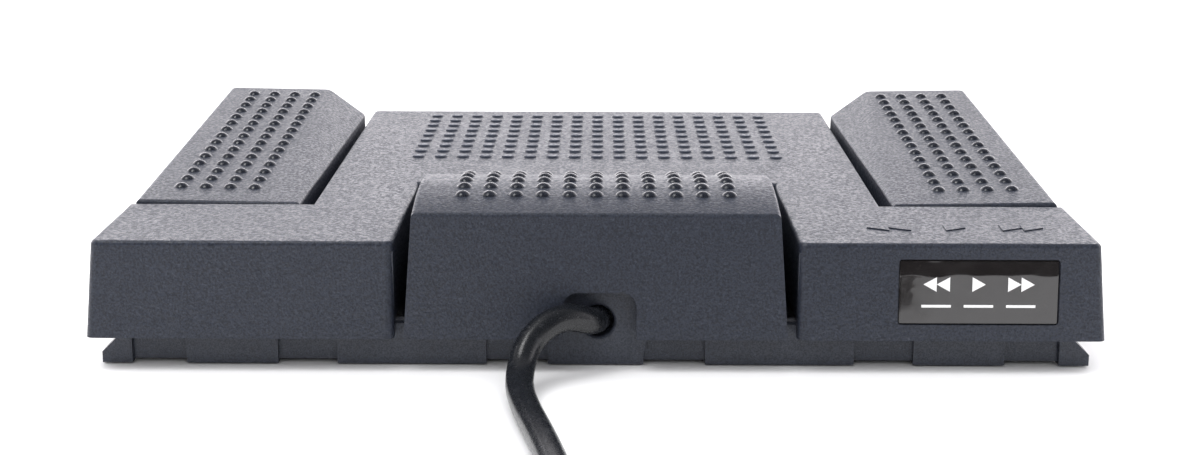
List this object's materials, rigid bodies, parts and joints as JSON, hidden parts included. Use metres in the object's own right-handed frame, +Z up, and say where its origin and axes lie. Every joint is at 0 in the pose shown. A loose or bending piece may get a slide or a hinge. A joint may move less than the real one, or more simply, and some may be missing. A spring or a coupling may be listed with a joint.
{
  "type": "transcription foot switch",
  "caption": "Sprung tread foot switch for a dictation transcriber: flat base tray, wide centre pedal with rear cover, side pedals, a raised rear pedal and a coiled lead with a round plug.",
  "frame": {"origin": "on the floor under the middle of the housing, measured without the lead", "axes": "+X across the switch, +Y from the lead side towards the front edges of the treads, +Z up"},
  "size_m": [0.2082, 0.3448, 0.0363],
  "materials": {
    "housing": "fine spark-eroded grain, slate grey",
    "base": "fine grain, slate grey",
    "label": "glossy printed film",
    "foil": "blank silver foil",
    "foot": "matt",
    "steel": "ground",
    "spring_steel": "drawn wire",
    "ballast": "zinc plated sheet",
    "screws": "zinc plated",
    "board": "green solder mask",
    "chip": "moulded epoxy",
    "socket": "natural nylon",
    "wires": "coloured insulation",
    "switch": "moulded",
    "plunger": "moulded",
    "lead_jacket": "semi-gloss black PVC",
    "tie": "woven hook-and-loop strap",
    "plug_grip": "satin black",
    "plug_metal": "nickel plated",
    "contacts": "plated"
  },
  "bodies": {
    "base": {"ballast_plate": "ballast", "ballast_screws": "screws", "base_tray": "base", "board_screws": "screws", "centre_spring_left": "spring_steel", "centre_spring_right": "spring_steel", "centre_switch": "switch", "circuit_board": "board", "clamp_screws": "screws", "coil_tie": "tie", "encoder_chip": "chip", "foot_left_front": "foot", "foot_left_rear": "foot", "foot_right_front": "foot", "foot_right_rear": "foot", "lead": "lead_jacket", "lead_clamp": "base", "lead_coil": "lead_jacket", "lead_inner": "lead_jacket", "lead_tail": "lead_jacket", "lead_wires": "wires", "left_hinge_shaft": "steel", "left_spring": "spring_steel", "left_switch": "switch", "plug_grip": "plug_grip", "plug_pins": "contacts", "plug_shell": "plug_metal", "right_hinge_shaft": "steel", "right_spring": "spring_steel", "right_switch": "switch", "shaft_clips": "steel", "top_pedal_pin": "steel", "top_spring": "spring_steel", "top_switch": "switch", "underside_label": "foil", "wire_socket": "socket"},
    "centre_pedal": {"centre_pedal": "housing", "label_plate": "label"},
    "left_pedal": {"left_pedal": "housing"},
    "right_pedal": {"right_pedal": "housing"},
    "top_pedal": {"top_pedal": "housing"},
    "left_plunger": {"left_plunger": "plunger"},
    "right_plunger": {"right_plunger": "plunger"},
    "centre_plunger": {"centre_plunger": "plunger"},
    "top_plunger": {"top_plunger": "plunger"}
  },
  "joints": [
    {"name": "centre_press", "type": "hinge", "parent": "base", "child": "centre_pedal", "pos_m": [0, -0.037, 0.0196], "axis": [-1, 0, 0], "range_deg": [0, 2], "stiffness_Nm_per_rad": 5, "springref_deg": -6.88, "deforming": ["centre_spring_left", "centre_spring_right"]},
    {"name": "left_press", "type": "hinge", "parent": "base", "child": "left_pedal", "pos_m": [-0.082, -0.037, 0.0196], "axis": [-1, 0, 0], "range_deg": [0, 3.07], "stiffness_Nm_per_rad": 2.5, "springref_deg": -8.59, "deforming": ["left_spring"]},
    {"name": "right_press", "type": "hinge", "parent": "base", "child": "right_pedal", "pos_m": [0.082, -0.037, 0.0196], "axis": [-1, 0, 0], "range_deg": [0, 3.07], "stiffness_Nm_per_rad": 2.5, "springref_deg": -8.59, "deforming": ["right_spring"]},
    {"name": "top_press", "type": "hinge", "parent": "base", "child": "top_pedal", "pos_m": [0, -0.0282, 0.012], "axis": [1, 0, 0], "range_deg": [0, 2.2], "stiffness_Nm_per_rad": 2.5, "springref_deg": -8.59, "deforming": ["top_spring"]},
    {"name": "centre_plunger_slide", "type": "slide", "parent": "base", "child": "centre_plunger", "axis": [0, 0, -1], "range_m": [0, 0.0012]},
    {"name": "left_plunger_slide", "type": "slide", "parent": "base", "child": "left_plunger", "axis": [0, 0, -1], "range_m": [0, 0.0012]},
    {"name": "right_plunger_slide", "type": "slide", "parent": "base", "child": "right_plunger", "axis": [0, 0, -1], "range_m": [0, 0.0012]},
    {"name": "top_plunger_slide", "type": "slide", "parent": "base", "child": "top_plunger", "axis": [0, 0, -1], "range_m": [0, 0.00095]}
  ],
  "couplings": [
    {"joint": "centre_plunger_slide", "follows": "centre_press", "m_per_rad": 0.034},
    {"joint": "left_plunger_slide", "follows": "left_press", "m_per_rad": 0.022},
    {"joint": "right_plunger_slide", "follows": "right_press", "m_per_rad": 0.022},
    {"joint": "top_plunger_slide", "follows": "top_press", "m_per_rad": 0.0238}
  ]
}
